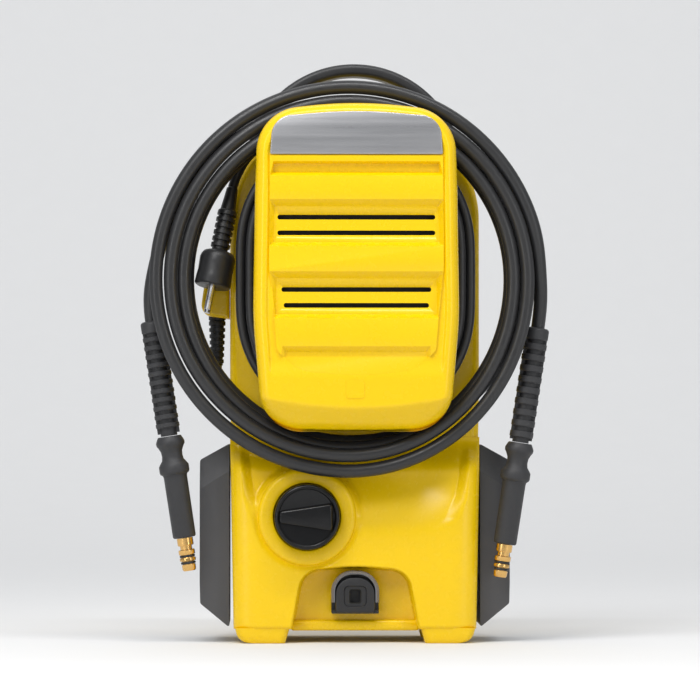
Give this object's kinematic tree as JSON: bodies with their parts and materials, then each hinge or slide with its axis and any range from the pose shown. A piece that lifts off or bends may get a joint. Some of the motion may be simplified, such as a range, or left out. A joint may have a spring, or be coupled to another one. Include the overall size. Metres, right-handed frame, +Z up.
{
  "type": "pressure washer",
  "caption": "Upright compact pressure washer with louvred front cover, wound mains cord, hung high-pressure hose, rotary switch and carry handle.",
  "frame": {"origin": "on the floor under the middle of the machine, without its cord and hose", "axes": "+Z up, -Y towards the front with the cover and the switch, +X to the right seen from the front"},
  "size_m": [0.3091, 0.1764, 0.443],
  "materials": {
    "yellow_shell": "satin moulded plastic",
    "dark_grey_plastic": "fine grained",
    "black_plastic": "fine grained",
    "gloss_black": "polished",
    "badge_silver": "brushed",
    "rubber": "satin",
    "brass": "turned",
    "steel": "turned",
    "aluminium": "cast",
    "stator": "laminated stack with copper windings"
  },
  "bodies": {
    "housing": {"carry_handle": "black_plastic", "front_shell": "yellow_shell", "rear_shell": "yellow_shell", "case_screw_1": "steel", "case_screw_2": "steel", "case_screw_3": "steel", "case_screw_4": "steel", "case_screw_5": "steel", "case_screw_6": "steel", "front_cover": "yellow_shell", "badge_plate": "badge_silver", "left_side_panel": "dark_grey_plastic", "right_side_panel": "dark_grey_plastic", "cord_bracket": "yellow_shell", "power_switch": "black_plastic", "outlet_coupling": "gloss_black", "inlet_coupling": "black_plastic", "inlet_filter": "steel", "motor_stator": "stator", "upper_bearing": "steel", "lower_bearing": "steel", "motor_end_bracket": "aluminium", "left_brush_holder": "brass", "right_brush_holder": "brass", "gear_case": "aluminium", "gear_bearing": "steel", "pump_housing": "aluminium", "piston_1": "steel", "piston_2": "steel", "piston_3": "steel", "piston_spring_1": "steel", "piston_spring_2": "steel", "piston_spring_3": "steel", "pump_head": "aluminium", "supply_wire": "rubber", "cord_winding": "rubber", "cord_relief": "rubber", "cord_lead": "rubber", "cord_tail": "rubber", "plug_body": "rubber", "front_plug_pin": "brass", "rear_plug_pin": "brass", "hose_coil": "rubber", "right_hose_tail": "rubber", "right_hose_sleeve": "rubber", "right_hose_grip": "black_plastic", "right_hose_connector": "brass", "left_hose_tail": "rubber", "left_hose_sleeve": "rubber", "left_hose_grip": "black_plastic", "left_hose_connector": "brass"},
    "knob": {"switch_knob": "gloss_black", "knob_shaft": "black_plastic"},
    "plunger": {"switch_plunger": "dark_grey_plastic"},
    "release": {"release_button": "dark_grey_plastic"},
    "rotor_group": {"rotor": "steel", "cooling_fan": "black_plastic"},
    "drive": {"drive_gear": "steel", "wobble_plate": "aluminium"}
  },
  "joints": [
    {"name": "knob_turn", "type": "hinge", "parent": "housing", "child": "knob", "pos_m": [-0.0366, -0.043, 0.0959], "axis": [0, 1, 0], "range_deg": [0, 90]},
    {"name": "plunger_slide", "type": "slide", "parent": "housing", "child": "plunger", "axis": [0, 1, 0], "range_m": [0, 0.002]},
    {"name": "release_slide", "type": "slide", "parent": "housing", "child": "release", "axis": [0, 0, -1], "range_m": [0, 0.002], "stiffness_N_per_m": 600},
    {"name": "motor_spin", "type": "hinge", "parent": "housing", "child": "rotor_group", "pos_m": [-0.014, 0.03, 0.25], "axis": [0, 0, 1], "continuous": true},
    {"name": "pump_spin", "type": "hinge", "parent": "housing", "child": "drive", "pos_m": [0.02, 0.03, 0.18], "axis": [0, 0, 1], "continuous": true}
  ],
  "couplings": [
    {"joint": "plunger_slide", "follows": "knob_turn", "m_per_rad": 0.00127},
    {"joint": "pump_spin", "follows": "motor_spin", "ratio": -0.21429}
  ]
}
